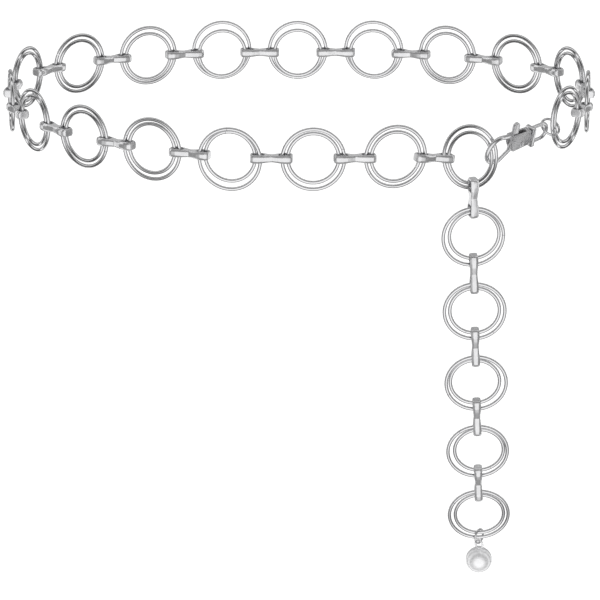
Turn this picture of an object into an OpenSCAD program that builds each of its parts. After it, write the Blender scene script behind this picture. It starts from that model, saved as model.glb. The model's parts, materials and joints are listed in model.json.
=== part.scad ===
// Waist chain of paired ring links joined by dog-bone clips, closed by a
// swivel trigger hook, with a hanging tail that ends in a ball.
// The origin is the middle of the waist loop. +X is to the wearer's side,
// +Y is the back of the loop, +Z is up. Lengths are millimetres.

/* [Ring links] */
// Thickness of the ring wire
wire_d = 1.85; // [1.7:0.05:1.9]
// Radius of the larger ring, to the middle of its wire
large_r = 15; // [14.9:0.05:15.2]
// Radius of the smaller ring, to the middle of its wire
small_r = 12.3; // [12.2:0.05:12.4]
// Least clear space between two pieces that hang in each other
play = 0.15; // [0.1:0.01:0.18]

/* [Waist loop] */
// Half the width of the loop, side to side
loop_half_w = 146.6; // [146.4:0.1:146.8]
// Half the depth of the loop, front to back
loop_half_d = 103.6; // [103.4:0.1:103.8]
// How much flatter the back of the loop is than its front
loop_egg = 5.6; // [5.4:0.1:5.8]
// Angle of the first station, from the side toward the front
loop_start = 25; // [24.9:0.05:25.1]

/* [Tail] */
// Lean of each tail clip from the plumb line, toward the wearer
tail_clip_lean = 5; // [4:0.5:6]
// Sideways lean of the whole tail
tail_side_lean = 2.4; // [2:0.2:3]

/* [Clips] */
// Overall length of a clip
clip_len = 20.4; // [20.3:0.05:20.5]
// Width of a clip at its ends, along the wire that it holds
clip_end_w = 4.2; // [4:0.1:4.4]
// Width of a clip at its waist
clip_waist_w = 3.5; // [3.2:0.1:3.8]
// Depth of a clip at its ends
clip_end_d = 6.4; // [6.2:0.1:6.8]
// Depth of a clip at its waist
clip_waist_d = 3.4; // [3:0.1:3.8]
// Length of each slot in a clip
slot_len = 5.8; // [5.7:0.1:6]
// Depth of each slot in a clip
slot_d = 4.4; // [4.3:0.05:4.6]
// Thickness of the wall that closes each end of a clip
clip_wall = 0.85; // [0.8:0.05:0.95]

/* [Clasp] */
// Radius of the hook, to the middle of its bar
hook_r = 7; // [7:0.05:7.1]
// Thickness of the hook's bar
hook_bar_d = 2.3; // [2.2:0.05:2.35]
// Length of the clasp's body
body_len = 13.8; // [13.7:0.05:13.85]
// Height of the clasp's body
body_h = 8.4; // [8:0.1:8.8]
// Thickness of the clasp's body
body_t = 4.2; // [4:0.1:4.4]
// Thickness of the lever in the slot of the body
lever_t = 1.9; // [1.7:0.1:2]
// Height of the thumb tab above the body
tab_h = 5.6; // [4.5:0.1:6]
// Diameter of the rivet that the lever turns on
rivet_d = 1.6; // [1.4:0.1:1.8]
// Diameter of the post that the eye swivels on
post_d = 2.6; // [2.4:0.1:2.8]
// Thickness of the bar of the swivel eye
eye_bar_d = 1.9; // [1.8:0.1:2]
// Outside diameter of the jump ring at the clasp
clasp_jump_od = 10.8; // [10.8:0.05:11]
// Wire of the jump ring at the clasp
clasp_jump_wire = 1.3; // [1.2:0.05:1.3]

/* [Ball drop] */
// Diameter of the ball
ball_d = 13.5; // [12:0.5:15]
// Outside diameter of the jump ring that carries the ball
drop_jump_od = 8.4; // [8.3:0.1:8.8]
// Wire of that jump ring
drop_jump_wire = 1.1; // [1:0.05:1.1]
// Outside diameter of the ball's eye
ball_eye_od = 5.4; // [5.2:0.1:5.8]
// Wire of the ball's eye
ball_eye_wire = 1.2; // [1.1:0.05:1.3]

/* [Hidden] */
$fn = 96;
silver = [0.8, 0.81, 0.82];
satin = [0.66, 0.66, 0.67];
bright = [0.88, 0.88, 0.9];
over = 0.5;

// Waist loop. One row for each station, from the right of the clasp round
// the back to the ring that takes the hook: how high it rides, and how far
// its larger ring rides above its smaller one.
RIDE = 0;
HANG = 1;
STATIONS = [
    [1, 0], [-1, 0], [1.5, 0], [0.5, 0.2], [0, 0.6], [-1, 1.5], [-1.5, 1.2],
    [-1, 1.5], [0, 0.6], [1, 0.2], [2, 0], [0, 0], [0, 0], [0, 0],
    [0, -0.4], [-0.5, -1.1], [-0.5, -0.6], [-1.5, 0], [-6.5, 0.4],
];
stations = len(STATIONS);
hook_station = stations - 1;
hook_ring_lean = -14;

// Distance between the two smaller rings' wires inside a clip
clip_seat = 7.92;
clip_reach = 2 * clip_seat;
solve_steps = 40;
step_low = 8;
step_high = 32;

function wire_gap() = wire_d + play;
function set_back(hang) =
    let (apart = large_r - small_r - abs(hang))
    apart >= wire_gap() ? 0 : sqrt(pow(wire_gap(), 2) - pow(apart, 2));
function ride(i) = STATIONS[i][RIDE];
function hang(i) = STATIONS[i][HANG];

// Turns a vector as rotate(turn) does
function turned(v, turn) =
    let (a = [v.x, v.y * cos(turn.x) - v.z * sin(turn.x), v.y * sin(turn.x) + v.z * cos(turn.x)],
         b = [a.x * cos(turn.y) + a.z * sin(turn.y), a.y, a.z * cos(turn.y) - a.x * sin(turn.y)])
    [b.x * cos(turn.z) - b.y * sin(turn.z), b.x * sin(turn.z) + b.y * cos(turn.z), b.z];

function loop_at(a) =
    [loop_half_w * cos(a), loop_half_d * sin(a) + loop_egg * cos(2 * a)];
function loop_heading(a) =
    atan2(loop_half_d * cos(a) - 2 * loop_egg * sin(2 * a), -loop_half_w * sin(a));
function turn_at(a, i) = [i == hook_station ? hook_ring_lean : 0, 0, loop_heading(a)];
// How steeply the clip after station i climbs
function climb(i) = asin((ride(i + 1) - ride(i)) / (clip_reach + 2 * small_r));
// Where a clip that climbs by e holds station i, on its side toward the next
// station (+1) or the last (-1)
function wire_at(a, i, side, e) =
    [loop_at(a).x, loop_at(a).y, ride(i)]
    + turned([side * small_r * cos(e), -set_back(hang(i)) / 2, side * small_r * sin(e)],
             turn_at(a, i));
function next_angle(a, i, low, high, steps) =
    let (mid = (low + high) / 2)
    steps == 0 ? mid :
    norm(wire_at(mid, i + 1, -1, climb(i)) - wire_at(a, i, 1, climb(i))) < clip_reach
        ? next_angle(a, i, mid, high, steps - 1)
        : next_angle(a, i, low, mid, steps - 1);
function loop_angles(n) =
    n == 0 ? [-loop_start] :
    let (done = loop_angles(n - 1), a = done[n - 1])
    concat(done, [next_angle(a, n - 1, a + step_low, a + step_high, solve_steps)]);
angles = loop_angles(stations - 1);

function station_at(i) = [loop_at(angles[i]).x, loop_at(angles[i]).y, ride(i)];
function station_turn(i) = turn_at(angles[i], i);

// Tail. One row for each link of the tail: how its clip faces, how its
// rings face, how its clip leans, how its rings lean and how far its
// larger ring rides above its smaller one.
CLIP_YAW = 0;
RING_YAW = 1;
CLIP_LEAN = 2;
RING_LEAN = 3;
TAIL_HANG = 4;
TAIL = [
    [19, 7, 0, 1, -0.5],
    [4, 1, 1, 3, -0.5],
    [1, 0, 4, 6, -0.5],
    [0, 0, 7, 9, -0.5],
    [0, 0, 11, 13, 0],
];
tail_links = len(TAIL);

function clip_turn(k) =
    [tail_clip_lean + TAIL[k][CLIP_LEAN], -tail_side_lean, TAIL[k][CLIP_YAW]];
function ring_turn(k) =
    [tail_clip_lean + TAIL[k][RING_LEAN], -tail_side_lean, TAIL[k][RING_YAW]];
function down(turn) = turned([0, 0, -1], turn);
function outward(turn, d) = turned([0, -d, 0], turn);
function tail_back(k) = set_back(TAIL[k][TAIL_HANG]);
// Bottom wire that tail clip k hangs from
function tail_top(k) =
    k == 0 ? station_at(hook_station) + small_r * down(station_turn(hook_station))
           : tail_ring_at(k - 1) + small_r * down(ring_turn(k - 1))
             + outward(ring_turn(k - 1), tail_back(k - 1) / 2);
function tail_ring_at(k) =
    tail_top(k) + clip_reach * down(clip_turn(k)) + small_r * down(ring_turn(k))
    - outward(ring_turn(k), tail_back(k) / 2);

// Clasp. Its own frame has +X along the swivel axis, from the hook to the
// eye, the hook in the XZ plane and the thumb tab toward +Z.
clasp_turn = [22, -6.3, 43];
clasp_at = [102.08, -73.29, -4.03];
hook_mid = [-7, 0, -0.5];
hook_top_a = 60;
hook_tip_a = 272;
slot_t = lever_t + 0.4;
body_low_x = 3.2;
body_taper = 0.7;
pivot = [8.3, 0, -1.3];
pivot_play = 0.05;
collar_d = 6.4;
collar_len = 0.7;
post_head_d = 4.8;
post_head_len = 1.2;
eye_gap = 0.2;
eye_base_x = body_len + collar_len + eye_gap;
eye_base_t = 1.7;
eye_base_w = 10.4;
eye_base_d = 4.4;
eye_bow_r = 4.2;
eye_bow_x = 23.4;
eye_roll = -6;
jump_x = 30.56;
jump_lift = 0.1;
jump_turn = [20, 1, -5];
tab_len = 3.2;
tab_x = 2;
tab_lean = 0.5;
gate_d = 1.9;
lever_turn = 0;

// Ball drop
drop_yaw = 55;
drop_hang = 0.65;

// A ring of round wire that stands in the XZ plane
module wire_ring(r, wire) {
    rotate([90, 0, 0])
        rotate_extrude()
            translate([r, 0]) circle(d = wire);
}

// The smaller ring of a link, and the larger one just outside it
module ring_pair(lift) {
    color(silver) {
        wire_ring(small_r, wire_d);
        translate([0, -set_back(lift), lift]) wire_ring(large_r, wire_d);
    }
}

module loop_station(i) {
    translate(station_at(i)) rotate(station_turn(i)) ring_pair(hang(i));
}

module tail_station(k) {
    translate(tail_ring_at(k)) rotate(ring_turn(k)) ring_pair(TAIL[k][TAIL_HANG]);
}

module rounded_plate(x, y, r) {
    square([x - 2 * r, y], center = true);
    square([x, y - 2 * r], center = true);
    for (sx = [-1, 1], sy = [-1, 1])
        translate([sx * (x / 2 - r), sy * (y / 2 - r)]) circle(r);
}

// A big round that scoops the waist of a clip to a given half depth
module scoop(half_end, half_waist, half_span) {
    sag = half_end - half_waist;
    r = (pow(half_span, 2) + pow(sag, 2)) / (2 * sag);
    for (s = [-1, 1])
        translate([0, s * (half_waist + r)]) circle(r);
}

// A dog-bone clip along X, whose slots are open along Z
module clip() {
    end_r = 2.2;
    edge_r = 0.9;
    slot_r = 1.2;
    slot_mid = clip_len / 2 - clip_wall - slot_len / 2;
    color(silver)
        intersection() {
            linear_extrude(height = clip_end_w + over, center = true)
                difference() {
                    rounded_plate(clip_len, clip_end_d, end_r);
                    for (s = [-1, 1])
                        translate([s * slot_mid, 0]) rounded_plate(slot_len, slot_d, slot_r);
                    scoop(clip_end_d / 2, clip_waist_d / 2, slot_mid - slot_len / 2 + 0.4);
                }
            rotate([90, 0, 0])
                linear_extrude(height = clip_end_d + over, center = true)
                    difference() {
                        rounded_plate(clip_len, clip_end_w, edge_r);
                        scoop(clip_end_w / 2, clip_waist_w / 2, slot_mid);
                    }
        }
}

module loop_clip(i) {
    a = wire_at(angles[i], i, 1, climb(i));
    b = wire_at(angles[i + 1], i + 1, -1, climb(i));
    run = b - a;
    translate((a + b) / 2)
        rotate([0, -atan2(run.z, norm([run.x, run.y])), atan2(run.y, run.x)])
            clip();
}

module tail_clip(k) {
    translate(tail_top(k) + clip_reach / 2 * down(clip_turn(k)))
        rotate(clip_turn(k)) rotate([0, 90, 0]) clip();
}

module loop_clips() {
    for (i = [0:stations - 2]) loop_clip(i);
}

module tail_clips() {
    for (k = [0:tail_links - 1]) tail_clip(k);
}

module in_clasp() {
    translate(clasp_at) rotate(clasp_turn) children();
}

module bar(a, b, d) {
    run = b - a;
    translate(a)
        rotate([0, acos(run.z / norm(run)), atan2(run.y, run.x)])
            cylinder(h = norm(run), d = d);
}

module side_profile(t) {
    rotate([90, 0, 0]) linear_extrude(height = t, center = true) children();
}

function hook_point(a) = hook_mid + hook_r * [cos(a), 0, sin(a)];

module clasp_hook() {
    top = hook_point(hook_top_a);
    root = [1.2, 0, body_h / 2 - hook_bar_d / 2];
    color(satin) in_clasp() {
        difference() {
            union() {
                side_profile(body_t)
                    polygon([
                        [0, body_h / 2], [body_len, body_h / 2 - body_taper],
                        [body_len, body_taper - body_h / 2], [body_low_x, -body_h / 2],
                    ]);
                translate([body_len - over, 0, 0]) rotate([0, 90, 0])
                    cylinder(h = collar_len + over, d = collar_d);
                bar(top, root, hook_bar_d);
            }
            // Slot that the lever works in
            side_profile(slot_t)
                polygon([
                    [-2, body_h / 2 - hook_bar_d - 0.1],
                    [1.4, body_h / 2 - hook_bar_d - 0.1],
                    [1.4, body_h], [body_len - 2.4, body_h],
                    [body_len - 2.4, -2.9], [body_len - 4, -body_h], [-2, -body_h],
                ]);
            translate(pivot) rotate([90, 0, 0])
                cylinder(h = body_t + 2 * over, d = rivet_d + 2 * pivot_play, center = true);
        }
        translate(hook_mid) rotate([90, 0, 0]) rotate([0, 0, hook_top_a])
            rotate_extrude(angle = hook_tip_a - hook_top_a)
                translate([hook_r, 0]) circle(d = hook_bar_d);
        translate(hook_point(hook_tip_a)) sphere(d = hook_bar_d);
        translate(top) sphere(d = hook_bar_d);
        // Post and its head, which hold the eye
        translate([body_len, 0, 0]) rotate([0, 90, 0]) {
            cylinder(h = collar_len + 2 * eye_gap + eye_base_t + over, d = post_d);
            translate([0, 0, collar_len + 2 * eye_gap + eye_base_t])
                cylinder(h = post_head_len, d1 = post_head_d, d2 = post_d);
        }
    }
}

module clasp_rivet() {
    head_d = 2.4;
    head_t = 0.35;
    color(bright) in_clasp()
        translate(pivot) rotate([90, 0, 0]) {
            cylinder(h = body_t + 2 * 0.05, d = rivet_d, center = true);
            for (s = [-1, 1])
                translate([0, 0, s * (body_t / 2 + 0.05 + head_t / 2)])
                    cylinder(h = head_t, d = head_d, center = true);
        }
}

module clasp_lever() {
    gate_in = [2.4, 0, -3.6];
    gate_tip = [-4, 0, -8.25];
    color(bright) in_clasp()
        translate(pivot) rotate([0, lever_turn, 0]) translate(-pivot) {
            difference() {
                side_profile(lever_t)
                    polygon([
                        [tab_x - tab_lean, body_h / 2 + tab_h - tab_len / 2],
                        [tab_x, 0.4], [1, -3.2], [3.2, -4.6], [pivot.x, -3.6],
                        [pivot.x + 2.2, -1.8], [pivot.x + 2, 0.6],
                        [tab_x + tab_len, 2.4],
                        [tab_x + tab_len - tab_lean, body_h / 2 + tab_h - tab_len / 2],
                    ]);
                translate(pivot) rotate([90, 0, 0])
                    cylinder(h = lever_t + over, d = rivet_d + 2 * pivot_play, center = true);
            }
            translate([tab_x - tab_lean + tab_len / 2, 0, body_h / 2 + tab_h - tab_len / 2])
                rotate([90, 0, 0]) cylinder(h = lever_t, d = tab_len, center = true);
            bar(gate_in, gate_tip, gate_d);
            translate(gate_tip) sphere(d = gate_d);
        }
}

module swivel_eye() {
    foot_x = eye_base_x + eye_base_t / 2;
    color(silver) in_clasp() rotate([eye_roll, 0, 0]) {
        difference() {
            translate([eye_base_x, -eye_base_d / 2, -eye_base_w / 2])
                cube([eye_base_t, eye_base_d, eye_base_w]);
            translate([eye_base_x - over, 0, 0]) rotate([0, 90, 0])
                cylinder(h = eye_base_t + 2 * over, d = post_d + 2 * pivot_play);
        }
        // Arms that run into the bow without a corner
        for (s = [-1, 1])
            translate([foot_x, 0, s * eye_bow_r]) rotate([0, 90, 0])
                cylinder(h = eye_bow_x - foot_x, d = eye_bar_d);
        translate([eye_bow_x, 0, 0]) rotate([90, 0, 0]) rotate([0, 0, -90])
            rotate_extrude(angle = 180)
                translate([eye_bow_r, 0]) circle(d = eye_bar_d);
    }
}

module clasp_jump_ring() {
    r = (clasp_jump_od - clasp_jump_wire) / 2;
    color(silver) in_clasp()
        translate([jump_x, 0, jump_lift]) rotate(jump_turn) rotate([90, 0, 0])
            wire_ring(r, clasp_jump_wire);
}

// The lowest station carries the jump ring round both of its wires
last = tail_links - 1;
drop_wire_mid = tail_ring_at(last) + (small_r + large_r) / 2 * down(ring_turn(last));
drop_jump_r = (drop_jump_od - drop_jump_wire) / 2;
drop_jump_at = drop_wire_mid - [0, 0, drop_hang];

module drop_jump_ring() {
    color(silver) translate(drop_jump_at) rotate([0, 0, drop_yaw])
        wire_ring(drop_jump_r, drop_jump_wire);
}

module ball_drop() {
    eye_r = (ball_eye_od - ball_eye_wire) / 2;
    eye_at = drop_jump_at - [0, 0, drop_jump_r - drop_jump_wire / 2 - ball_eye_wire / 2 - play + eye_r];
    color(bright) {
        translate(eye_at) rotate([0, 0, drop_yaw + 90]) wire_ring(eye_r, ball_eye_wire);
        translate(eye_at - [0, 0, eye_r + ball_d / 2 - 0.5]) sphere(d = ball_d);
    }
}

loop_station(0);  // loop_rings_01
loop_station(1);  // loop_rings_02
loop_station(2);  // loop_rings_03
loop_station(3);  // loop_rings_04
loop_station(4);  // loop_rings_05
loop_station(5);  // loop_rings_06
loop_station(6);  // loop_rings_07
loop_station(7);  // loop_rings_08
loop_station(8);  // loop_rings_09
loop_station(9);  // loop_rings_10
loop_station(10);  // loop_rings_11
loop_station(11);  // loop_rings_12
loop_station(12);  // loop_rings_13
loop_station(13);  // loop_rings_14
loop_station(14);  // loop_rings_15
loop_station(15);  // loop_rings_16
loop_station(16);  // loop_rings_17
loop_station(17);  // loop_rings_18
loop_station(18);  // loop_rings_19
tail_station(0);  // tail_rings_1
tail_station(1);  // tail_rings_2
tail_station(2);  // tail_rings_3
tail_station(3);  // tail_rings_4
tail_station(4);  // tail_rings_5
loop_clips();
tail_clips();
clasp_hook();
clasp_lever();
clasp_rivet();
swivel_eye();
clasp_jump_ring();
drop_jump_ring();
ball_drop();
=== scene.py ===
"""Looks of the waist chain: wire rings, cast clips, a swivel trigger hook and a polished ball.

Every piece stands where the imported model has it. Lengths in the classes are millimetres.
"""

import json
import logging
import math
from abc import ABC, abstractmethod
from collections.abc import Callable, Iterable, Iterator, Sequence
from contextlib import contextmanager
from dataclasses import dataclass
from enum import Enum
from typing import ClassVar

import bmesh
import bpy
import numpy as np
from mathutils import Matrix, Vector

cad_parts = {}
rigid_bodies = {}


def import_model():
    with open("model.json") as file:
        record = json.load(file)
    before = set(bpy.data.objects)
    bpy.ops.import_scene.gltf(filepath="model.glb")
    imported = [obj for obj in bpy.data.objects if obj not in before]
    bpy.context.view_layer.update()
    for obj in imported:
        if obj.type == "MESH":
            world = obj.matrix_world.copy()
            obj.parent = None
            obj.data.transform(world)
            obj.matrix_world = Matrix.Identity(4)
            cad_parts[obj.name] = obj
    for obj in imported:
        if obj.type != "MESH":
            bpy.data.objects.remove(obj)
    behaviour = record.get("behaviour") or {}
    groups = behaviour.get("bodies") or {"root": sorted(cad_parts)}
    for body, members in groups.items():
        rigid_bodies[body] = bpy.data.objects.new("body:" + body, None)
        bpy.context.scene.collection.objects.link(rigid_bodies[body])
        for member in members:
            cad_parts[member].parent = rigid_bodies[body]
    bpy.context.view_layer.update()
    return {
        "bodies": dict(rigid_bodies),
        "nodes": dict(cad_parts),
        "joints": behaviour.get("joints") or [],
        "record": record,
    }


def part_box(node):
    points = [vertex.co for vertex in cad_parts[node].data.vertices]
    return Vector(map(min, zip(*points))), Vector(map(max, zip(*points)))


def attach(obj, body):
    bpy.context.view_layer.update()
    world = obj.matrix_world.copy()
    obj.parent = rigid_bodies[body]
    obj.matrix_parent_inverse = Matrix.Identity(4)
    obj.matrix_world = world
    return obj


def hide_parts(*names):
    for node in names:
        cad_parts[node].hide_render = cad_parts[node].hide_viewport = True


MM = 0.001
LOG = logging.getLogger("waist_chain")

Piece = bpy.types.Object
Element = bmesh.types.BMVert | bmesh.types.BMEdge | bmesh.types.BMFace
Pair = tuple[float, float]
Triple = tuple[float, float, float]


class Body(Enum):
    """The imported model's bodies."""

    CHAIN = "chain"
    CLASP = "clasp"
    LEVER = "lever"
    DROP = "drop"


class Kind(Enum):
    """What a selection is made of: the operators' name for it, and the mesh's."""

    POINTS = ("VERT", "verts")
    EDGES = ("EDGE", "edges")
    FACES = ("FACE", "faces")


def hang_together(points: Sequence[int], near: Callable[[int], Iterable[int]]) -> list[list[int]]:
    """Sort points into groups that hang together.

    Args:
        points: The points' numbers.
        near: Gives the numbers of the points next to a point.

    Returns:
        The groups, each in the order in which it was walked.
    """
    left = set(points)
    groups: list[list[int]] = []
    for first in points:
        if first not in left:
            continue
        left.discard(first)
        stack, group = [first], []
        while stack:
            at = stack.pop()
            group.append(at)
            for other in near(at):
                if other in left:
                    left.discard(other)
                    stack.append(other)
        groups.append(group)
    return groups


class Bench:
    """Hand tools: selecting, editing and finishing meshes with Blender's operators."""

    # Faces whose normal has more than this along a direction look that way
    FACING = 0.9

    @staticmethod
    def take(*pieces: Piece) -> None:
        """Select these pieces alone, the first one active."""
        bpy.ops.object.select_all(action="DESELECT")
        for piece in pieces:
            piece.select_set(True)
        bpy.context.view_layer.objects.active = pieces[0]

    @staticmethod
    @contextmanager
    def editing(piece: Piece) -> Iterator[None]:
        """Hold a piece in edit mode."""
        Bench.take(piece)
        bpy.ops.object.mode_set(mode="EDIT")
        try:
            yield
        finally:
            bpy.ops.object.mode_set(mode="OBJECT")

    @staticmethod
    def pick(piece: Piece, kind: Kind, wanted: Callable[[Element], bool]) -> None:
        """Select the points, edges or faces that pass a test.

        Args:
            piece: The mesh, which is in edit mode.
            kind: What to select.
            wanted: The test of a single point, edge or face.
        """
        mode, elements = kind.value
        bpy.ops.mesh.select_mode(type=mode)
        bpy.ops.mesh.select_all(action="DESELECT")
        mesh = bmesh.from_edit_mesh(piece.data)
        for element in getattr(mesh, elements):
            if wanted(element):
                element.select_set(True)
        mesh.select_flush_mode()
        bmesh.update_edit_mesh(piece.data)

    @staticmethod
    def pick_facing(piece: Piece, way: Vector) -> None:
        """Select the faces of a piece in edit mode that look one way."""
        Bench.pick(piece, Kind.FACES, lambda face: face.normal.dot(way) > Bench.FACING)

    @staticmethod
    def extrude(way: Vector, steps: Sequence[Pair]) -> None:
        """Extrude the selection in steps, and resize it after each.

        Args:
            way: The direction, with a length of one.
            steps: How far each step goes in mm, and its share of the last step's size.
        """
        for step, share in steps:
            bpy.ops.mesh.extrude_region_move(TRANSFORM_OT_translate={"value": way * step * MM})
            bpy.ops.transform.resize(value=(share, share, share))

    @staticmethod
    def finish(piece: Piece, kind: str, **settings: object) -> None:
        """Add a modifier to a piece and apply it.

        Args:
            piece: The piece to change.
            kind: The modifier's type.
            **settings: Its values.
        """
        Bench.take(piece)
        modifier = piece.modifiers.new(kind.title(), kind)
        for name, value in settings.items():
            setattr(modifier, name, value)
        bpy.ops.object.modifier_apply(modifier=modifier.name)

    @staticmethod
    def bevel(piece: Piece, width: float, segments: int = 3, sharper: float = 30.0) -> None:
        """Round a piece's sharp edges.

        Args:
            piece: The piece to change.
            width: The rounding's width, in mm.
            segments: Steps across it.
            sharper: The edges that turn by more than this many degrees are rounded.
        """
        Bench.finish(piece, "BEVEL", width=width * MM, segments=segments, limit_method="ANGLE",
                     angle_limit=math.radians(sharper))

    @staticmethod
    def cut(piece: Piece, cutter: Piece) -> None:
        """Cut a shape out of a piece, and remove the shape."""
        Bench.finish(piece, "BOOLEAN", operation="DIFFERENCE", solver="EXACT", object=cutter)
        Bench.discard(cutter)

    @staticmethod
    def settle(piece: Piece) -> None:
        """Move a piece's place and turn into its mesh."""
        Bench.take(piece)
        bpy.ops.object.transform_apply(location=True, rotation=True, scale=True)

    @staticmethod
    def close_up(piece: Piece) -> None:
        """Merge a piece's doubles and turn its faces outward."""
        with Bench.editing(piece):
            bpy.ops.mesh.select_all(action="SELECT")
            bpy.ops.mesh.remove_doubles(threshold=1e-6)
            bpy.ops.mesh.normals_make_consistent(inside=False)

    @staticmethod
    def smooth(piece: Piece, angle: float) -> None:
        """Shade a piece smooth, but for edges sharper than an angle in degrees."""
        Bench.take(piece)
        bpy.ops.object.shade_smooth_by_angle(angle=math.radians(angle))

    @staticmethod
    def copy_to(pattern: Piece, place: Matrix) -> Piece:
        """Copy a pattern, with a mesh of its own, to a place.

        Args:
            pattern: The piece to copy.
            place: Where the copy goes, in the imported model's frame.

        Returns:
            The copy, with its place in its mesh.
        """
        mesh = pattern.data.copy()
        mesh.transform(place)
        copy = bpy.data.objects.new(pattern.name, mesh)
        bpy.context.scene.collection.objects.link(copy)
        return copy

    @staticmethod
    def join(name: str, pieces: Sequence[Piece]) -> Piece:
        """Join pieces into one.

        Args:
            name: The joined piece's name.
            pieces: The pieces to join.

        Returns:
            The joined piece.
        """
        Bench.take(*pieces)
        if len(pieces) > 1:
            bpy.ops.object.join()
        joined = bpy.context.view_layer.objects.active
        joined.name = name
        joined.data.name = name
        return joined

    @staticmethod
    def discard(piece: Piece) -> None:
        """Remove a pattern that is no longer needed."""
        bpy.data.objects.remove(piece, do_unlink=True)


class Shape:
    """Simple shapes that the pieces start from. Their sizes and places are given in mm."""

    WIRE_SIDES = 16
    # The wire's ends at a seam are filed to this share of its width
    SEAM_SHARE = 0.86
    # The ring is smooth but for edges sharper than this
    SMOOTH_BELOW = 50.0

    @staticmethod
    def block(size: Sequence[float], middle: Sequence[float]) -> Piece:
        """Add a block of a size, with its middle at a place."""
        bpy.ops.mesh.primitive_cube_add(
            size=1, location=Vector(middle) * MM, scale=Vector(size) * MM)
        block = bpy.context.object
        Bench.settle(block)
        return block

    @staticmethod
    def sphere(width: float, middle: Sequence[float], segments: int) -> Piece:
        """Add a sphere of a width, with its middle at a place."""
        bpy.ops.mesh.primitive_uv_sphere_add(
            segments=segments, ring_count=segments // 2, radius=width / 2 * MM,
            location=Vector(middle) * MM)
        sphere = bpy.context.object
        Bench.settle(sphere)
        return sphere

    @staticmethod
    def rod(start: Sequence[float], end: Sequence[float], width: float, sides: int) -> Piece:
        """Add a round rod between two places."""
        first, last = Vector(start) * MM, Vector(end) * MM
        run = last - first
        bpy.ops.mesh.primitive_cylinder_add(
            vertices=sides, radius=width / 2 * MM, depth=run.length,
            location=(first + last) / 2, rotation=run.to_track_quat("Z", "Y").to_euler())
        rod = bpy.context.object
        Bench.settle(rod)
        return rod

    @staticmethod
    def plate(outline: Sequence[Pair], thick: float) -> Piece:
        """Add a plate in the XZ plane from its outline.

        Args:
            outline: The x and z of its corners, in order.
            thick: Its thickness along Y, half on either side of the plane.

        Returns:
            The plate.
        """
        bpy.ops.mesh.primitive_circle_add(vertices=len(outline), radius=MM, fill_type="NGON")
        plate = bpy.context.object
        with Bench.editing(plate):
            mesh = bmesh.from_edit_mesh(plate.data)
            for point, (x, z) in zip(mesh.verts, outline):
                point.co = Vector((x, -thick / 2, z)) * MM
            bmesh.update_edit_mesh(plate.data)
            bpy.ops.mesh.select_all(action="SELECT")
            bpy.ops.mesh.extrude_region_move(
                TRANSFORM_OT_translate={"value": (0, thick * MM, 0)})
        Bench.close_up(plate)
        return plate

    @staticmethod
    def swept_bar(radius: float, width: float, start: float, sweep: float, steps: int,
                  sides: int) -> Piece:
        """Spin a round bar about the Y axis.

        Args:
            radius: From the axis to the middle of the bar.
            width: The bar's diameter.
            start: Where it starts, in degrees from +X toward +Z.
            sweep: How far it goes, in degrees.
            steps: Sections along it.
            sides: Sides of the bar.

        Returns:
            The bar, open at both ends.
        """
        turn = math.radians(start)
        bpy.ops.mesh.primitive_circle_add(
            vertices=sides, radius=width / 2 * MM,
            location=(radius * math.cos(turn) * MM, 0, radius * math.sin(turn) * MM),
            rotation=(0, -turn, 0))
        bar = bpy.context.object
        Bench.settle(bar)
        with Bench.editing(bar):
            bpy.ops.mesh.select_all(action="SELECT")
            bpy.ops.mesh.spin(
                steps=steps, angle=math.radians(sweep), center=(0, 0, 0), axis=(0, 1, 0))
        return bar

    @staticmethod
    def wire_ring(radius: float, wire: float, seam: float, steps: int) -> Piece:
        """Bend a ring of round wire about the Y axis, with its butt seam at +X.

        Args:
            radius: To the middle of the wire.
            wire: The wire's diameter.
            seam: The gap between the wire's ends.
            steps: Sections round the ring.

        Returns:
            The ring, with the ends of its wire closed.
        """
        gap = math.degrees(seam / radius)
        ring = Shape.swept_bar(radius, wire, gap / 2, 360 - gap, steps, Shape.WIRE_SIDES)
        Shape.cap(ring, ((0.0, Shape.SEAM_SHARE),))
        Bench.smooth(ring, Shape.SMOOTH_BELOW)
        return ring

    @staticmethod
    def open_ends(bar: Piece) -> list[list[int]]:
        """Find the points round each open end of a bar.

        Args:
            bar: The open bar.

        Returns:
            For each end, the numbers of its points.
        """
        mesh = bmesh.new()
        mesh.from_mesh(bar.data)
        mesh.verts.ensure_lookup_table()

        def beside(at: int) -> list[int]:
            """Give the points next to a point along the end's rim."""
            point = mesh.verts[at]
            return [edge.other_vert(point).index for edge in point.link_edges if edge.is_boundary]

        ends = hang_together([point.index for point in mesh.verts if point.is_boundary], beside)
        mesh.free()
        return ends

    @staticmethod
    def cap(bar: Piece, steps: Sequence[Pair]) -> None:
        """Close each open end of a bar with a few extruded steps.

        Args:
            bar: The open bar.
            steps: How far each step goes out in mm, and its share of the last step's size.
        """
        for end in Shape.open_ends(bar):
            points = [bar.data.vertices[i].co.copy() for i in end]
            middle = sum(points, Vector()) / len(points)
            out = (points[0] - middle).cross(points[1] - middle).normalized()
            rim = set(end)
            inside = [
                bar.data.vertices[other].co for edge in bar.data.edges
                for here, other in (edge.vertices, reversed(edge.vertices))
                if here in rim and other not in rim]
            if out.dot(middle - sum(inside, Vector()) / len(inside)) < 0:
                out = -out
            with Bench.editing(bar):
                Bench.pick(bar, Kind.POINTS, lambda point: point.index in rim)
                Bench.extrude(out, steps)
                bpy.ops.mesh.edge_face_add()
        Bench.close_up(bar)


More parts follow.
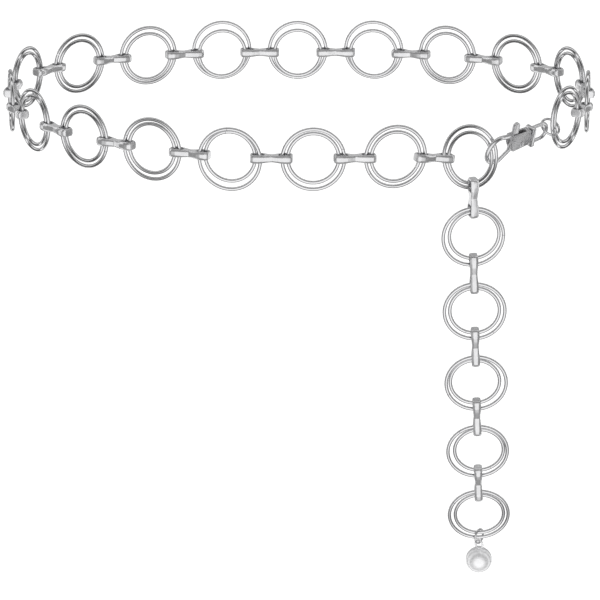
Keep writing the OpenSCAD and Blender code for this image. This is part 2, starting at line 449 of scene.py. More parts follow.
class Grain:
    """The shared effect of cast and polished metal: a fine grain and soft streaks."""

    NAME = "metal_grain"
    INPUTS = (("Scale", 400.0), ("Grain", 0.3), ("Streak", 0.2), ("Roughness", 0.1))
    OUTPUTS = ("Roughness", "Tint", "Height")
    FINE_DETAIL = 4
    BROAD_DETAIL = 2
    BROAD_SCALE = 170
    # The middle of the noise, which changes nothing
    LEVEL = 0.5
    ROUGHNESS_SHARE = 0.5
    TINT_SHARE = 0.35
    LEAST_ROUGHNESS = 0.02

    @classmethod
    def group(cls) -> bpy.types.NodeTree:
        """Build the node group once.

        Returns:
            A group with the inputs Scale, Grain, Streak and Roughness, and the outputs Roughness,
            Tint and Height.
        """
        tree = bpy.data.node_groups.get(cls.NAME)
        if tree:
            return tree
        tree = bpy.data.node_groups.new(cls.NAME, "ShaderNodeTree")
        for name, value in cls.INPUTS:
            socket = tree.interface.new_socket(
                name, in_out="INPUT", socket_type="NodeSocketFloat")
            socket.default_value = value
        for name in cls.OUTPUTS:
            tree.interface.new_socket(name, in_out="OUTPUT", socket_type="NodeSocketFloat")
        nodes, links = tree.nodes, tree.links
        entry, leave = nodes.new("NodeGroupInput"), nodes.new("NodeGroupOutput")
        place = nodes.new("ShaderNodeTexCoord")
        fine = nodes.new("ShaderNodeTexNoise")
        fine.inputs["Detail"].default_value = cls.FINE_DETAIL
        broad = nodes.new("ShaderNodeTexNoise")
        broad.inputs["Detail"].default_value = cls.BROAD_DETAIL
        broad.inputs["Scale"].default_value = cls.BROAD_SCALE
        links.new(place.outputs["Object"], fine.inputs["Vector"])
        links.new(entry.outputs["Scale"], fine.inputs["Scale"])
        links.new(place.outputs["Object"], broad.inputs["Vector"])

        def work(operation: str, first: bpy.types.NodeSocket,
                 second: bpy.types.NodeSocket | float) -> bpy.types.NodeSocket:
            """Add a Math node on a socket and a second socket or a number."""
            node = nodes.new("ShaderNodeMath")
            node.operation = operation
            links.new(first, node.inputs[0])
            if isinstance(second, (int, float)):
                node.inputs[1].default_value = second
            else:
                links.new(second, node.inputs[1])
            return node.outputs[0]

        grain = work("MULTIPLY", work("SUBTRACT", fine.outputs["Fac"], cls.LEVEL),
                     entry.outputs["Grain"])
        streak = work("MULTIPLY", work("SUBTRACT", broad.outputs["Fac"], cls.LEVEL),
                      entry.outputs["Streak"])
        both = work("ADD", grain, streak)
        rough = work("ADD", work("MULTIPLY", both, cls.ROUGHNESS_SHARE),
                     entry.outputs["Roughness"])
        tint = work("ADD", work("MULTIPLY", both, cls.TINT_SHARE), cls.LEVEL)
        links.new(work("MAXIMUM", rough, cls.LEAST_ROUGHNESS), leave.inputs["Roughness"])
        links.new(tint, leave.inputs["Tint"])
        links.new(both, leave.inputs["Height"])
        return tree


@dataclass(frozen=True)
class Metal:
    """A metal finish whose colour, gloss and bump change a little over the surface.

    Attributes:
        name: The material's name.
        slot: The name of a slot; it is not used.
        light: The colour where the grain is high.
        dark: The colour where the grain is low.
        roughness: The roughness that the grain changes a little.
        grain: How strong the fine grain is.
        streak: How strong the soft streaks are.
        scale: How fine the grain is.
        bump: The grain's height, in mm.
        metallic: How far it mirrors in its own colour.
    """

    name: str
    slot: str
    light: Triple
    dark: Triple
    roughness: float
    grain: float
    streak: float
    scale: float
    bump: float
    metallic: float = 1.0
    # Where the tint is all dark and where it is all light
    ramp: ClassVar[Pair] = (0.3, 0.6)

    def material(self) -> bpy.types.Material:
        """Build the material, or find it if it is there.

        Returns:
            The material.
        """
        found = bpy.data.materials.get(self.name)
        if found:
            return found
        material = bpy.data.materials.new(self.name)
        material.use_nodes = True
        nodes, links = material.node_tree.nodes, material.node_tree.links
        shader = nodes["Principled BSDF"]
        shader.inputs["Metallic"].default_value = self.metallic
        grain = nodes.new("ShaderNodeGroup")
        grain.node_tree = Grain.group()
        grain.inputs["Scale"].default_value = self.scale
        grain.inputs["Grain"].default_value = self.grain
        grain.inputs["Streak"].default_value = self.streak
        grain.inputs["Roughness"].default_value = self.roughness
        tint = nodes.new("ShaderNodeValToRGB")
        for element, place, colour in zip(
                tint.color_ramp.elements, self.ramp, (self.dark, self.light)):
            element.position = place
            element.color = (*colour, 1)
        bump = nodes.new("ShaderNodeBump")
        bump.inputs["Strength"].default_value = 1.0
        bump.inputs["Distance"].default_value = self.bump * MM
        links.new(grain.outputs["Tint"], tint.inputs["Fac"])
        links.new(tint.outputs["Color"], shader.inputs["Base Color"])
        links.new(grain.outputs["Roughness"], shader.inputs["Roughness"])
        links.new(grain.outputs["Height"], bump.inputs["Height"])
        links.new(bump.outputs["Normal"], shader.inputs["Normal"])
        return material

    def dress(self, piece: Piece) -> None:
        """Give a piece this finish."""
        piece.data.materials.clear()
        piece.data.materials.append(self.material())


WIRE = Metal(
    "polished_wire", "rings", light=(0.85, 0.85, 0.86), dark=(0.62, 0.62, 0.63),
    roughness=0.1, grain=0.08, streak=0.1, scale=900, bump=0.004)
CAST = Metal(
    "cast_clip", "clips", light=(0.86, 0.86, 0.87), dark=(0.48, 0.48, 0.49),
    roughness=0.16, grain=0.3, streak=0.5, scale=700, bump=0.12, metallic=0.72)
SATIN = Metal(
    "satin_clasp", "clasp", light=(0.66, 0.66, 0.67), dark=(0.28, 0.28, 0.29),
    roughness=0.3, grain=1.2, streak=0.3, scale=1500, bump=0.08, metallic=0.8)
BOW = Metal(
    "hook_polish", "clasp", light=(0.82, 0.82, 0.83), dark=(0.5, 0.5, 0.51),
    roughness=0.15, grain=0.2, streak=0.3, scale=900, bump=0.03, metallic=0.92)
STEEL = Metal(
    "lever_steel", "lever", light=(0.76, 0.76, 0.77), dark=(0.45, 0.45, 0.46),
    roughness=0.24, grain=0.3, streak=0.2, scale=1100, bump=0.03, metallic=0.75)
EYE = Metal(
    "eye_steel", "eye", light=(0.8, 0.8, 0.81), dark=(0.5, 0.5, 0.51),
    roughness=0.16, grain=0.2, streak=0.2, scale=1000, bump=0.03, metallic=0.9)
BALL = Metal(
    "ball_polish", "ball", light=(0.94, 0.94, 0.95), dark=(0.86, 0.86, 0.87),
    roughness=0.26, grain=0.03, streak=0.05, scale=600, bump=0.002, metallic=0.4)


def put_on(piece: Piece, finish: Metal, body: Body, node: str) -> None:
    """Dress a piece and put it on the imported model.

    Args:
        piece: The finished shape.
        finish: Its metal.
        body: The body that it rides on.
        node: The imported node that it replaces, alone or with other pieces.
    """
    finish.dress(piece)
    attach(piece, body.value)
    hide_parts(node)


@dataclass(frozen=True)
class Lump:
    """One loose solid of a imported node: where it is, how it is turned and how far it spreads."""

    middle: Vector
    turn: Matrix
    spread: Triple
    # A ring whose normal has less than this along Y is seen from its edge
    edge_on: ClassVar[float] = 0.2

    def place(self) -> Matrix:
        """Give the solid's place and turn as one matrix."""
        return Matrix.Translation(self.middle) @ self.turn.to_4x4()

    def ring_place(self, angle: float) -> Matrix:
        """Give the place of a ring whose seam is at an angle seen from the front.

        Args:
            angle: The seam's place, in degrees from the ring's right side, going up.

        Returns:
            The matrix.
        """
        normal = self.turn.col[2].normalized()
        if normal.y < 0 or (abs(normal.y) < self.edge_on and normal.x < 0):
            normal = -normal
        up = (Vector((0, 0, 1)) - normal * normal.z).normalized()
        turn = Matrix((normal.cross(up), normal, up)).transposed()
        spin = Matrix.Rotation(-math.radians(angle), 4, "Y")
        return Matrix.Translation(self.middle) @ turn.to_4x4() @ spin


class Packed:
    """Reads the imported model's own solids, so that the pieces go where it has them."""

    # Points closer than this are one point, in metres
    WELD = 1e-7

    def __init__(self, frame: dict) -> None:
        """Keep the loaded frame."""
        self.nodes: dict[str, Piece] = frame["nodes"]
        self.joints: dict[str, dict] = {joint["name"]: joint for joint in frame["joints"]}

    def lumps(self, node: str) -> list[Lump]:
        """Measure each loose solid of a node from its own volume.

        Args:
            node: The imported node's name.

        Returns:
            The solids. Each one's turn has its axes as columns, from the one that it is longest
            along to the one that it is shortest along.
        """
        mesh = bmesh.new()
        mesh.from_mesh(self.nodes[node].data)
        bmesh.ops.remove_doubles(mesh, verts=mesh.verts[:], dist=self.WELD)
        for elements in (mesh.verts, mesh.faces):
            elements.index_update()
            elements.ensure_lookup_table()

        def beside(at: int) -> list[int]:
            """Give the points that share an edge with a point."""
            point = mesh.verts[at]
            return [edge.other_vert(point).index for edge in point.link_edges]

        found: list[Lump] = []
        for shell in hang_together(range(len(mesh.verts)), beside):
            faces = sorted({face.index for at in shell for face in mesh.verts[at].link_faces})
            corners = [[point.co[:] for point in mesh.faces[at].verts] for at in faces]
            found.append(self.measure(np.array([face for face in corners if len(face) == 3])))
        mesh.free()
        return found

    @staticmethod
    def measure(corners: np.ndarray) -> Lump:
        """Measure a closed solid.

        Args:
            corners: Its triangles, as an array of n by 3 by 3.

        Returns:
            The solid's middle and axes.
        """
        # Each triangle makes a tetrahedron with the base
        base = corners.reshape(-1, 3).mean(axis=0)
        points = corners - base
        volumes = np.einsum("ij,ij->i", points[:, 0], np.cross(points[:, 1], points[:, 2])) / 6
        whole = volumes.sum()
        sums = points.sum(axis=1)
        middle = (volumes[:, None] * sums).sum(axis=0) / (4 * whole)
        second = np.einsum("i,ij,ik->jk", volumes, sums, sums)
        second += np.einsum("i,inj,ink->jk", volumes, points, points)
        second = second / (20 * whole) - np.outer(middle, middle)
        values, axes = np.linalg.eigh(second)
        long_axis, mid_axis = axes[:, 2], axes[:, 1]
        short_axis = np.cross(long_axis, mid_axis)
        turn = Matrix(np.stack([long_axis, mid_axis, short_axis], axis=1).tolist())
        return Lump(Vector(base + middle), turn, tuple(float(v) for v in values[::-1]))

    def clasp_frame(self) -> Matrix:
        """Give the clasp's own frame: X along the swivel's axis, Y along the lever's.

        Returns:
            The frame's matrix, in metres.
        """
        swivel, lever = self.joints["clasp_swivel"], self.joints["lever_pivot"]
        along = Vector(swivel["axis"]).normalized()
        across = Vector(lever["axis"])
        across = (across - along * across.dot(along)).normalized()
        up = along.cross(across)
        turn = Matrix((along, across, up)).transposed()
        return Matrix.Translation(Vector(swivel["pos_m"])) @ turn.to_4x4()


@dataclass
class Links:
    """The round wire rings, a larger and a smaller one at each station, each with its butt seam."""

    packed: Packed
    wire: float = 1.85
    large: float = 15.0
    small: float = 12.3
    seam: float = 0.22
    steps: int = 96
    # Where the wire's ends meet, in degrees from the right going up, for the larger and the
    # smaller ring. The rings that aren't named here go round by the guessed steps
    seams: ClassVar[dict[str, Pair]] = {
        "loop_rings_05": (196, 262), "loop_rings_06": (262, 96), "loop_rings_07": (262, 40),
        "loop_rings_08": (272, 75), "loop_rings_09": (300, 69), "loop_rings_15": (158, 95),
        "loop_rings_16": (95, 100), "loop_rings_17": (20, 296), "loop_rings_18": (210, 330),
        "loop_rings_19": (75, 200), "tail_rings_1": (2, 268), "tail_rings_2": (310, 250),
        "tail_rings_3": (205, 20), "tail_rings_4": (128, 300), "tail_rings_5": (148, 35),
    }
    guessed_steps: ClassVar[tuple[int, int]] = (137, 211)
    guessed_start: ClassVar[int] = 80
    # How far the smaller ring has slid in its clips, to the right and up, in mm
    shifts: ClassVar[dict[str, Pair]] = {
        "tail_rings_1": (0.4, 0.35), "tail_rings_3": (-0.6, 0.35),
        "tail_rings_4": (0.7, 0.35), "tail_rings_5": (0.3, 0.3),
    }

    def seam_angles(self, name: str, number: int) -> Pair:
        """Give the places of a link's two seams.

        Args:
            name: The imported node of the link.
            number: The link's number in the sorted row.

        Returns:
            The angles of the larger and the smaller ring's seam, in degrees.
        """
        first, second = self.guessed_steps
        guess = (number * first % 360, (number * second + self.guessed_start) % 360)
        return self.seams.get(name, guess)

    def build(self) -> None:
        """Make every ring of the loop and the tail."""
        large, small = (Shape.wire_ring(radius, self.wire, self.seam, self.steps)
                        for radius in (self.large, self.small))
        names = sorted(name for name in self.packed.nodes if "_rings_" in name)
        for number, name in enumerate(names):
            outer, inner = sorted(self.packed.lumps(name), key=lambda lump: -lump.spread[0])
            outer_seam, inner_seam = self.seam_angles(name, number)
            across, rise = self.shifts.get(name, (0.0, 0.0))
            slide = Matrix.Translation(Vector((across, 0, rise)) * MM)
            piece = Bench.join(name.replace("rings", "wires"), (
                Bench.copy_to(large, outer.ring_place(outer_seam)),
                Bench.copy_to(small, slide @ inner.ring_place(inner_seam))))
            put_on(piece, WIRE, Body.CHAIN, name)
        Bench.discard(large)
        Bench.discard(small)


@dataclass
class Clips:
    """The cast dog-bone clips, each with a slot through either end."""

    packed: Packed
    length: float = 20.4
    slot_middle: float = 6.32
    slot_size: Triple = (5.8, 4.2, 8.0)
    slot_round: float = 1.2
    slot_segments: int = 5
    # Places along the clip from its middle, with its depth and its width there
    sections: tuple[Triple, ...] = (
        (0.0, 3.9, 3.3), (2.0, 4.9, 3.5), (4.0, 5.8, 3.9), (6.3, 6.4, 4.25), (8.6, 6.2, 4.2),
        (9.6, 5.4, 4.0), (10.2, 4.2, 3.6))
    # The sides swell up to this height and draw in beyond it, toward the rims
    swell_height: float = 0.9
    swell: float = 1.07
    draw_in: float = 0.84
    # A point is at a place when it is nearer than this
    slack: float = 0.05
    # The casting's soft edges: a fine remesh, smoothed and then thinned out
    voxel: float = 0.15
    smoothing: int = 12
    kept: float = 0.16

    def blank(self) -> Piece:
        """Shape one clip along X, without its slots."""
        clip = Shape.block((self.length, 1, 1), (0, 0, 0))
        with Bench.editing(clip):
            for place, _, _ in self.sections[:-1]:
                for side in {place, -place}:
                    bpy.ops.mesh.select_all(action="SELECT")
                    bpy.ops.mesh.bisect(plane_co=(side * MM, 0, 0), plane_no=(1, 0, 0))
            for place, depth, width in self.sections:
                Bench.pick(clip, Kind.POINTS, lambda point: abs(
                    abs(point.co.x) - place * MM) < self.slack * MM)
                bpy.ops.transform.resize(value=(1, depth, width))
            for height in (-self.swell_height, self.swell_height):
                bpy.ops.mesh.select_all(action="SELECT")
                bpy.ops.mesh.bisect(plane_co=(0, 0, height * MM), plane_no=(0, 0, 1))
            bound = (self.swell_height + self.slack) * MM
            Bench.pick(clip, Kind.POINTS, lambda point: abs(point.co.z) < bound)
            bpy.ops.transform.resize(value=(1, self.swell, 1))
            Bench.pick(clip, Kind.POINTS, lambda point: abs(point.co.z) > bound)
            bpy.ops.transform.resize(value=(1, self.draw_in, 1))
        return clip

    def slot(self, middle: float) -> Piece:
        """Shape the cutter of one slot, open along Z and round at its corners.

        Args:
            middle: The slot's place along the clip.

        Returns:
            The cutter.
        """
        slot = Shape.block(self.slot_size, (middle, 0, 0))
        with Bench.editing(slot):
            Bench.pick(slot, Kind.EDGES, lambda edge: abs(
                edge.verts[0].co.z - edge.verts[1].co.z) > MM)
            bpy.ops.mesh.bevel(offset=self.slot_round * MM, segments=self.slot_segments)
        return slot

    def pattern(self) -> Piece:
        """Shape one clip along X, with its slots open along Z.

        Returns:
            The clip.
        """
        clip = self.blank()
        for side in (-1, 1):
            Bench.cut(clip, self.slot(side * self.slot_middle))
        Bench.finish(clip, "REMESH", mode="VOXEL", voxel_size=self.voxel * MM)
        Bench.finish(clip, "SMOOTH", factor=0.5, iterations=self.smoothing)
        Bench.finish(clip, "DECIMATE", ratio=self.kept)
        Bench.smooth(clip, 180)
        return clip

    def build(self) -> None:
        """Make the clips of the loop and of the tail."""
        pattern = self.pattern()
        for node in ("loop_clips", "tail_clips"):
            copies = [Bench.copy_to(pattern, lump.place()) for lump in self.packed.lumps(node)]
            piece = Bench.join(node.replace("clips", "cast_clips"), copies)
            put_on(piece, CAST, Body.CHAIN, node)
        Bench.discard(pattern)


class ClaspPiece(ABC):
    """A piece of the clasp, shaped in the clasp's own frame and in mm.

    X runs along the swivel's axis toward the eye, Y along the lever's axis, and Z up.
    """

    finish: ClassVar[Metal]
    body: ClassVar[Body]
    node: ClassVar[str]
    smooth_below: ClassVar[float] = 32.0

    @abstractmethod
    def shape(self) -> Piece:
        """Shape the piece.

        Returns:
            The piece, in the clasp's own frame.
        """

    def build(self, place: Matrix) -> None:
        """Make the piece and put it on its body.

        Args:
            place: The clasp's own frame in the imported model's.
        """
        piece = self.shape()
        piece.data.transform(place)
        Bench.smooth(piece, self.smooth_below)
        put_on(piece, self.finish, self.body, self.node)


@dataclass(frozen=True)
class Turned:
    """A round part about the clasp's X axis."""

    start: float
    end: float
    width: float
    sides: int = 32

    def shape(self) -> Piece:
        """Shape the part."""
        return Shape.rod((self.start, 0, 0), (self.end, 0, 0), self.width, self.sides)


@dataclass(frozen=True)
class ClaspBody(ClaspPiece):
    """The slotted body, its collar and the headed post that the eye turns on."""

    finish: ClassVar[Metal] = SATIN
    body: ClassVar[Body] = Body.CLASP
    node: ClassVar[str] = "clasp_hook"
    # The body's side, from the top of its hook end round past the post
    side: tuple[Pair, ...] = (
        (-0.4, 6.1), (13.8, 5.1), (13.8, -3.5), (3.2, -4.2), (0.3, 0.9))
    thick: float = 4.2
    # The slot for the lever. It leaves a bridge over the hook's root and a wall at the collar
    slot: tuple[Pair, ...] = (
        (-2.0, 3.7), (1.4, 3.7), (1.4, 8.1), (11.4, 8.1), (11.4, -2.9), (9.8, -6.2),
        (-2.0, -6.2))
    slot_thick: float = 2.3
    collar: Turned = Turned(13.4, 14.5, 6.4, sides=48)
    post: Turned = Turned(13.8, 17.2, 2.6)
    head: Turned = Turned(17.1, 18.3, 4.8, sides=48)
    # How far the head's face is drawn in, which makes it a low cone
    head_face: float = 0.54
    # How wide the edges of the body, the collar and the head are rounded
    edges: Triple = (0.4, 0.2, 0.3)

    def shape(self) -> Piece:
        """Shape the body with the post, in the clasp's own frame."""
        body_edge, collar_edge, head_edge = self.edges
        body = Shape.plate(self.side, self.thick)
        Bench.cut(body, Shape.plate(self.slot, self.slot_thick))
        Bench.bevel(body, body_edge, sharper=40)
        collar = self.collar.shape()
        Bench.bevel(collar, collar_edge, segments=2)
        post = self.post.shape()
        head = self.head.shape()
        with Bench.editing(head):
            Bench.pick_facing(head, Vector((1, 0, 0)))
            bpy.ops.transform.resize(value=(1, self.head_face, self.head_face))
        Bench.bevel(head, head_edge, sharper=20)
        return Bench.join("clasp_body", (body, collar, post, head))


@dataclass(frozen=True)
class HookBow(ClaspPiece):
    """The hook's round bar, from its rounded tip into the top of the body."""

    finish: ClassVar[Metal] = BOW
    body: ClassVar[Body] = Body.CLASP
    node: ClassVar[str] = "clasp_hook"
    middle: Pair = (-7.0, -0.5)
    radius: float = 7.0
    bar: float = 2.3
    # Where the bow leaves its arm and where its tip is, in degrees from +X toward +Z
    top: float = 74.0
    tip: float = 272.0
    root: Pair = (2.2, 4.85)
    rounding: tuple[Pair, ...] = ((0.35, 0.94), (0.35, 0.8), (0.2, 0.5))
    steps: int = 64
    sides: int = 24

    def shape(self) -> Piece:
        """Shape the bow, its arm and the elbow between them, in the clasp's own frame."""
        x, z = self.middle
        bow = Shape.swept_bar(
            self.radius, self.bar, self.top, self.tip - self.top, self.steps, self.sides)
        bow.location = (x * MM, 0, z * MM)
        Bench.settle(bow)
        Shape.cap(bow, self.rounding)
        turn = math.radians(self.top)
        bend = (x + self.radius * math.cos(turn), 0.0, z + self.radius * math.sin(turn))
        arm = Shape.rod(bend, (self.root[0], 0, self.root[1]), self.bar, self.sides)
        elbow = Shape.sphere(self.bar, bend, self.sides)
        return Bench.join("clasp_bow", (bow, arm, elbow))


@dataclass(frozen=True)
class ThumbLever(ClaspPiece):
    """The thumb tab, its plate in the body's slot and the gate."""

    finish: ClassVar[Metal] = STEEL
    body: ClassVar[Body] = Body.LEVER
    node: ClassVar[str] = "clasp_lever"
    tab_middle: Pair = (3.1, 10.6)
    tab_radius: float = 1.9
    # The rest of the side, from the tab's hook side down and round the rivet to its other side
    side: tuple[Pair, ...] = (
        (2.0, 0.4), (1.0, -3.2), (3.2, -4.6), (8.3, -3.6), (10.5, -1.8), (10.3, 0.6),
        (5.2, 2.4))
    thick: float = 1.9
    edge: float = 0.28
    gate_root: Triple = (2.4, 0.0, -3.6)
    gate_end: Triple = (-4.0, 0.0, -8.25)
    gate_width: float = 1.9
    gate_sides: int = 24
    rounding: tuple[Pair, ...] = ((0.45, 0.88), (0.35, 0.7), (0.12, 0.5))

    def shape(self) -> Piece:
        """Shape the lever, in the clasp's own frame."""
        x, z = self.tab_middle
        crown = tuple(
            (x + self.tab_radius * math.cos(turn), z + self.tab_radius * math.sin(turn))
            for turn in map(math.radians, range(0, 181, 20)))
        plate = Shape.plate(crown + self.side, self.thick)
        Bench.bevel(plate, self.edge, sharper=45)
        gate = Shape.rod(self.gate_root, self.gate_end, self.gate_width, self.gate_sides)
        out = (Vector(self.gate_end) - Vector(self.gate_root)).normalized()
        with Bench.editing(gate):
            Bench.pick_facing(gate, out)
            Bench.extrude(out, self.rounding)
        return Bench.join("thumb_lever", (plate, gate))


@dataclass(frozen=True)
class LeverRivet(ClaspPiece):
    """The rivet that the lever turns on, with a low head at each end."""

    finish: ClassVar[Metal] = STEEL
    body: ClassVar[Body] = Body.CLASP
    node: ClassVar[str] = "clasp_rivet"
    pivot: Pair = (8.3, -1.3)
    # How far the shank reaches to either side, and its width
    shank: Pair = (2.15, 1.6)
    # From where to where along Y the heads go, and their width
    head: Triple = (2.05, 2.55, 3.0)
    # The dimple that the punch leaves: the rim round it, its depth and its floor's share
    dimple: Triple = (0.7, 0.4, 0.8)
    edge: float = 0.1
    sides: int = 32

    def shape(self) -> Piece:
        """Shape the rivet, in the clasp's own frame."""
        x, z = self.pivot
        reach, width = self.shank
        shank = Shape.rod((x, -reach, z), (x, reach, z), width, self.sides)
        near, far, width = self.head
        rim, depth, share = self.dimple
        heads = []
        for side in (-1, 1):
            head = Shape.rod((x, side * near, z), (x, side * far, z), width, self.sides)
            with Bench.editing(head):
                Bench.pick_facing(head, Vector((0, side, 0)))
                bpy.ops.mesh.inset(thickness=rim * MM)
                bpy.ops.mesh.extrude_region_move(
                    TRANSFORM_OT_translate={"value": (0, -side * depth * MM, 0)})
                bpy.ops.transform.resize(value=(share, 1, share))
            Bench.bevel(head, self.edge, segments=2)
            heads.append(head)
        return Bench.join("lever_rivet", (shank, *heads))


@dataclass(frozen=True)
class SwivelEye(ClaspPiece):
    """The plate and the bow that turn on the post."""

    finish: ClassVar[Metal] = EYE
    body: ClassVar[Body] = Body.CHAIN
    node: ClassVar[str] = "swivel_eye"
    base: float = 14.7
    size: Triple = (2.2, 5.8, 10.4)
    bore: Turned = Turned(13.7, 17.9, 2.7)
    bow_middle: float = 23.4
    bow_radius: float = 4.2
    bar: float = 1.9
    steps: int = 40
    sides: int = 20
    edge: float = 0.45
    roll: float = -6.0

    def shape(self) -> Piece:
        """Shape the eye, in the clasp's own frame."""
        middle = self.base + self.size[0] / 2
        plate = Shape.block(self.size, (middle, 0, 0))
        Bench.cut(plate, self.bore.shape())
        Bench.bevel(plate, self.edge, sharper=60)
        bow = Shape.swept_bar(self.bow_radius, self.bar, -90, 180, self.steps, self.sides)
        bow.location = (self.bow_middle * MM, 0, 0)
        Bench.settle(bow)
        Shape.cap(bow, ((self.bow_middle - middle, 1.0),))
        eye = Bench.join("swivel_bow", (plate, bow))
        eye.data.transform(Matrix.Rotation(math.radians(self.roll), 4, "X"))
        return eye


@dataclass
class JumpRing:
    """A small ring of round wire with a butt seam."""

    packed: Packed
    node: str
    outside: float
    wire: float
    seam_at: float
    body: Body
    seam: float = 0.14
    steps: int = 64

    def build(self) -> None:
        """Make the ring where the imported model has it."""
        radius = (self.outside - self.wire) / 2
        pattern = Shape.wire_ring(radius, self.wire, self.seam, self.steps)
        lump = self.packed.lumps(self.node)[0]
        copy = Bench.copy_to(pattern, lump.ring_place(self.seam_at))
        Bench.discard(pattern)
        piece = Bench.join(self.node.replace("ring", "wire"), (copy,))
        put_on(piece, EYE, self.body, self.node)


@dataclass
class Clasp:
    """The swivel trigger hook with the jump ring that its eye hangs from."""

    packed: Packed

    def build(self) -> None:
        """Make the clasp's pieces and the jump ring."""
        place = self.packed.clasp_frame()
        for piece in (ClaspBody(), HookBow(), ThumbLever(), LeverRivet(), SwivelEye()):
            piece.build(place)
        JumpRing(self.packed, "clasp_jump_ring", outside=10.8, wire=1.3, seam_at=250,
                 body=Body.CHAIN).build()


@dataclass
class Ball:
    """The polished ball with its collar and eye, hung from a jump ring."""

    packed: Packed
    width: float = 13.5
    segments: int = 96
    eye_outside: float = 5.4
    eye_wire: float = 1.2
    eye_sunk: float = 0.5
    eye_turn: float = 145.0
    eye_steps: int = 48
    # The collar where the eye is soldered in: how deep it starts, how high it ends, its width
    collar: Triple = (0.6, 0.25, 3.2)
    collar_edge: float = 0.2
    collar_sides: int = 40
    smooth_below: float = 40.0

    def build(self) -> None:
        """Make the ball, its eye and the jump ring."""
        JumpRing(self.packed, "drop_jump_ring", outside=8.4, wire=1.1, seam_at=40,
                 body=Body.DROP).build()
        low, high = (Vector(corner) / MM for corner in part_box("ball_drop"))
        middle = Vector(((low.x + high.x) / 2, (low.y + high.y) / 2, low.z + self.width / 2))
        sphere = Shape.sphere(self.width, middle, self.segments)
        radius = (self.eye_outside - self.eye_wire) / 2
        eye = Shape.swept_bar(
            radius, self.eye_wire, 0, 360, self.eye_steps, Shape.WIRE_SIDES)
        Bench.close_up(eye)
        up = Vector((0, 0, 1))
        top = middle + up * (self.width / 2)
        eye.data.transform(Matrix.Translation((top + up * (radius - self.eye_sunk)) * MM)
                           @ Matrix.Rotation(math.radians(self.eye_turn), 4, "Z"))
        depth, height, width = self.collar
        collar = Shape.rod(top - up * depth, top + up * height, width, self.collar_sides)
        Bench.bevel(collar, self.collar_edge)
        piece = Bench.join("hanging_ball", (sphere, eye, collar))
        Bench.smooth(piece, self.smooth_below)
        put_on(piece, BALL, Body.DROP, "ball_drop")


@dataclass(frozen=True)
class Panel:
    """A soft panel light that the metal doesn't mirror. Its lengths are metres, its power watts."""

    name: str
    place: Triple
    aim: Triple
    size: Pair
    power: float

    def hang(self) -> None:
        """Add the light to the scene."""
        light = bpy.data.lights.new(self.name, "AREA")
        light.shape = "RECTANGLE"
        light.size, light.size_y = self.size
        light.energy = self.power
        lamp = bpy.data.objects.new(self.name, light)
        lamp.location = self.place
        lamp.visible_glossy = False
        way = Vector(self.aim) - Vector(self.place)
        lamp.rotation_euler = way.to_track_quat("-Z", "Y").to_euler()
        bpy.context.scene.collection.objects.link(lamp)


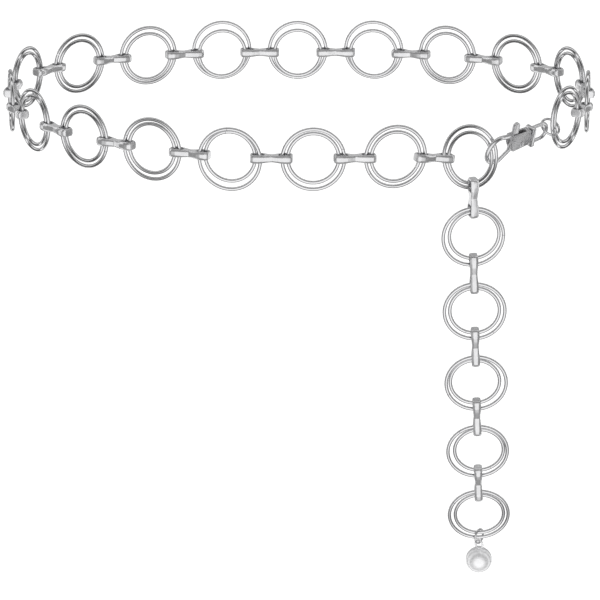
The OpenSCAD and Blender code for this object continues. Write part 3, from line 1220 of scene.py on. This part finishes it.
@dataclass
class Studio:
    """The pale floor, the soft lights and the camera."""

    floor_z: float = -300.0
    floor_size: float = 14000.0
    floor_grey: float = 0.3
    floor_roughness: float = 0.9
    floor_glow: float = 0.95
    room_strength: float = 1.15
    # The way to the brightest part of the room, which the metal facing the camera mirrors
    front: Triple = (0.0, -0.974, -0.225)
    # How bright the room is, from straight behind the belt (0) round to straight in front (1)
    tent: tuple[Pair, ...] = (
        (0.0, 0.45), (0.09, 0.2), (0.12, 0.22), (0.15, 0.95), (0.21, 0.95), (0.25, 0.11),
        (0.37, 0.12), (0.41, 0.95), (0.49, 0.95), (0.54, 0.09), (0.73, 0.1), (0.84, 0.48),
        (0.9, 1.0), (1.0, 1.0))
    panels: tuple[Panel, ...] = (
        Panel("front", (-0.9, -2.4, 1.3), aim=(0, 0, -0.05), size=(1.2, 0.9), power=14),
        Panel("above", (0.3, 0.1, 2.2), aim=(0, 0, 0), size=(1.2, 0.8), power=16))
    # The camera as fitted to the photograph: distance in mm, elevation in degrees, pixels to a
    # mm at the loop's middle, and where that middle is in the picture
    distance: float = 2000.0
    elevation: float = 15.1
    scale: float = 1.969
    origin_px: Pair = (299.3, 97.8)
    image: int = 600
    sensor: float = 36.0
    sight: float = 30000.0

    def floor(self) -> None:
        """Lay the pale floor. It glows evenly, and the metal mirrors the room instead of it."""
        bpy.ops.mesh.primitive_plane_add(
            size=self.floor_size * MM, location=(0, 0, self.floor_z * MM))
        floor = bpy.context.object
        floor.name = "floor"
        material = bpy.data.materials.new("pale_floor")
        material.use_nodes = True
        shader = material.node_tree.nodes["Principled BSDF"]
        shader.inputs["Base Color"].default_value = (*[self.floor_grey] * 3, 1)
        shader.inputs["Roughness"].default_value = self.floor_roughness
        shader.inputs["Emission Color"].default_value = (1, 1, 1, 1)
        shader.inputs["Emission Strength"].default_value = self.floor_glow
        floor.data.materials.append(material)
        floor.visible_glossy = False

    def room(self) -> None:
        """Hang a white tent round the belt, with grey stripes between its front and its back."""
        world = bpy.data.worlds.new("room")
        bpy.context.scene.world = world
        world.use_nodes = True
        nodes, links = world.node_tree.nodes, world.node_tree.links
        way = nodes.new("ShaderNodeTexCoord")
        facing = nodes.new("ShaderNodeVectorMath")
        facing.operation = "DOT_PRODUCT"
        facing.inputs[1].default_value = self.front
        share = nodes.new("ShaderNodeMapRange")
        share.inputs["From Min"].default_value = -1
        tent = nodes.new("ShaderNodeValToRGB")
        ramp = tent.color_ramp
        ramp.elements[0].position, ramp.elements[1].position = self.tent[0][0], self.tent[-1][0]
        for place, _ in self.tent[1:-1]:
            ramp.elements.new(place)
        for element, (_, value) in zip(ramp.elements, self.tent):
            element.color = (value, value, value, 1)
        links.new(way.outputs["Generated"], facing.inputs[0])
        links.new(facing.outputs["Value"], share.inputs["Value"])
        links.new(share.outputs["Result"], tent.inputs["Fac"])
        links.new(tent.outputs["Color"], nodes["Background"].inputs["Color"])
        nodes["Background"].inputs["Strength"].default_value = self.room_strength

    def camera(self) -> None:
        """Stand the camera where it sees the belt as photographed."""
        rise = math.radians(self.elevation)
        focal = self.scale * self.distance
        drop = math.atan((self.image / 2 - self.origin_px[1]) / focal)
        side = math.atan((self.origin_px[0] - self.image / 2) / focal)
        camera = bpy.data.cameras.new("camera")
        camera.sensor_width = self.sensor
        camera.lens = self.sensor * focal * math.cos(drop) / self.image
        camera.clip_end = self.sight * MM
        eye = bpy.data.objects.new("camera", camera)
        eye.location = Vector((0, -math.cos(rise), math.sin(rise))) * self.distance * MM
        eye.rotation_euler = (math.pi / 2 - rise - drop, 0, side)
        bpy.context.scene.collection.objects.link(eye)
        bpy.context.scene.camera = eye

    def build(self) -> None:
        """Set the whole stage."""
        self.floor()
        self.room()
        for panel in self.panels:
            panel.hang()
        self.camera()
        bpy.context.scene.view_settings.view_transform = "Standard"


def main() -> None:
    """Build the studio and every piece of the belt."""
    logging.basicConfig(level=logging.INFO, format="%(name)s: %(message)s")
    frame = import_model()
    packed = Packed(frame)
    Studio().build()
    for sub in (Links(packed), Clips(packed), Clasp(packed), Ball(packed)):
        sub.build()
        LOG.info("built %s", type(sub).__name__)


if __name__ == "__main__":
    main()
